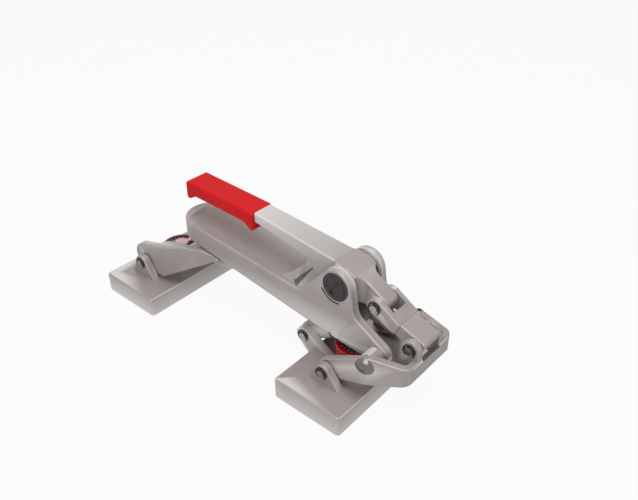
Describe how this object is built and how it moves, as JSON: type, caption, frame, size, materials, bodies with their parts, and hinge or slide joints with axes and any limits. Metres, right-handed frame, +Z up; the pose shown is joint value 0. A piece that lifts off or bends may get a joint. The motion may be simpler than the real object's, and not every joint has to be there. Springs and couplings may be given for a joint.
{
  "type": "carpet seam stretcher",
  "caption": "Locking floor-covering seam stretcher: an over-centre lever spreads two needle-plate feet along a cast beam.",
  "frame": {"origin": "middle of the rear foot's sole face, on the surface the tool stands on", "axes": "+X from the rear foot towards the nose, +Y across to the far side, +Z up"},
  "size_m": [0.3437, 0.142, 0.128],
  "materials": {
    "cast_body": "satin sand-cast, lightly speckled",
    "lever_metal": "satin cast",
    "link_metal": "satin cast",
    "yoke_metal": "satin cast",
    "foot_metal": "satin cast",
    "grip_red": "smooth, slightly glossy",
    "dark_screw": "blackened",
    "pin_steel": "bright",
    "clip_steel": "blackened spring steel",
    "dome_steel": "bright",
    "bush_bronze": "turned",
    "plate_steel": "zinc plated",
    "needle_steel": "polished",
    "rear_rim_red": "dark red, satin",
    "front_rim_red": "glossy",
    "scale_dark": "dark with light marks",
    "rear_knob_pink": "pale",
    "front_knob_black": "glossy"
  },
  "bodies": {
    "body": {"main_beam": "cast_body", "rear_bracket": "cast_body", "bracket_screws": "pin_steel", "hub_screw": "dark_screw", "hub_nut": "dark_screw", "hub_washers": "plate_steel", "tie_top_pin": "cast_body"},
    "handle": {"handle_lever": "lever_metal", "handle_grip": "grip_red", "hub_bush": "bush_bronze", "crank_pin": "pin_steel", "crank_pin_clips": "clip_steel"},
    "link": {"toggle_link": "link_metal", "stop_screw": "dome_steel"},
    "yoke": {"yoke": "yoke_metal", "nose_rivets": "dome_steel", "yoke_pins": "pin_steel", "yoke_pin_clips": "clip_steel"},
    "tie_link": {"tie_bar": "yoke_metal"},
    "front_base": {"front_foot": "foot_metal", "front_foot_pins": "pin_steel", "front_foot_pin_clips": "clip_steel", "front_sole_plate": "plate_steel", "front_sole_screws": "pin_steel", "front_guide_posts": "pin_steel", "front_dial_rim": "front_rim_red", "front_dial_scale": "scale_dark", "tie_foot_pin": "pin_steel", "tie_foot_pin_clips": "clip_steel"},
    "front_dial": {"front_dial_knob": "front_knob_black", "front_dial_stud": "pin_steel"},
    "front_needle_set": {"front_needle_plate": "plate_steel", "front_needles": "needle_steel"},
    "rear_base": {"rear_foot": "foot_metal", "rear_foot_pins": "pin_steel", "rear_foot_pin_clips": "clip_steel", "rear_sole_plate": "plate_steel", "rear_sole_screws": "pin_steel", "rear_guide_posts": "pin_steel", "rear_dial_rim": "rear_rim_red", "rear_dial_scale": "scale_dark"},
    "rear_dial": {"rear_dial_knob": "rear_knob_pink", "rear_dial_stud": "pin_steel"},
    "rear_needle_set": {"rear_needle_plate": "plate_steel", "rear_needles": "needle_steel"}
  },
  "joints": [
    {"name": "handle_lift", "type": "hinge", "parent": "body", "child": "handle", "pos_m": [0.2281, 0, 0.1028], "axis": [0, 1, 0], "range_deg": [0, 50]},
    {"name": "toggle_link_swing", "type": "hinge", "parent": "handle", "child": "link", "pos_m": [0.2599, 0, 0.0914], "axis": [0, -1, 0], "range_deg": [0, 95.9]},
    {"name": "yoke_swing", "type": "hinge", "parent": "body", "child": "yoke", "pos_m": [0.2722, 0, 0.0554], "axis": [0, -1, 0], "range_deg": [0, 42]},
    {"name": "tie_bar_swing", "type": "hinge", "parent": "body", "child": "tie_link", "pos_m": [0.2279, 0, 0.0541], "axis": [0, -1, 0], "range_deg": [0, 42]},
    {"name": "front_foot_level", "type": "hinge", "parent": "yoke", "child": "front_base", "pos_m": [0.2349, 0, 0.0313], "axis": [0, 1, 0], "range_deg": [0, 42]},
    {"name": "rear_foot_pitch", "type": "hinge", "parent": "body", "child": "rear_base", "pos_m": [-0.0049, 0, 0.0345], "axis": [0, 1, 0], "range_deg": [-10, 10]},
    {"name": "front_dial_turn", "type": "hinge", "parent": "front_base", "child": "front_dial", "pos_m": [0.2358, 0, 0.0228], "axis": [0, 0, -1], "range_deg": [0, 270]},
    {"name": "rear_dial_turn", "type": "hinge", "parent": "rear_base", "child": "rear_dial", "pos_m": [0, 0, 0.0228], "axis": [0, 0, -1], "range_deg": [0, 270]},
    {"name": "front_needle_slide", "type": "slide", "parent": "front_base", "child": "front_needle_set", "axis": [0, 0, -1], "range_m": [0, 0.0046]},
    {"name": "rear_needle_slide", "type": "slide", "parent": "rear_base", "child": "rear_needle_set", "axis": [0, 0, -1], "range_m": [0, 0.0046]}
  ],
  "couplings": [
    {"joint": "toggle_link_swing", "follows": "handle_lift", "ratio": 1.918},
    {"joint": "yoke_swing", "follows": "handle_lift", "ratio": 0.84},
    {"joint": "tie_bar_swing", "follows": "handle_lift", "ratio": 0.84},
    {"joint": "front_foot_level", "follows": "handle_lift", "ratio": 0.84},
    {"joint": "front_dial_turn", "follows": "front_needle_slide", "rad_per_m": 1024.4},
    {"joint": "rear_dial_turn", "follows": "rear_needle_slide", "rad_per_m": 1024.4}
  ]
}
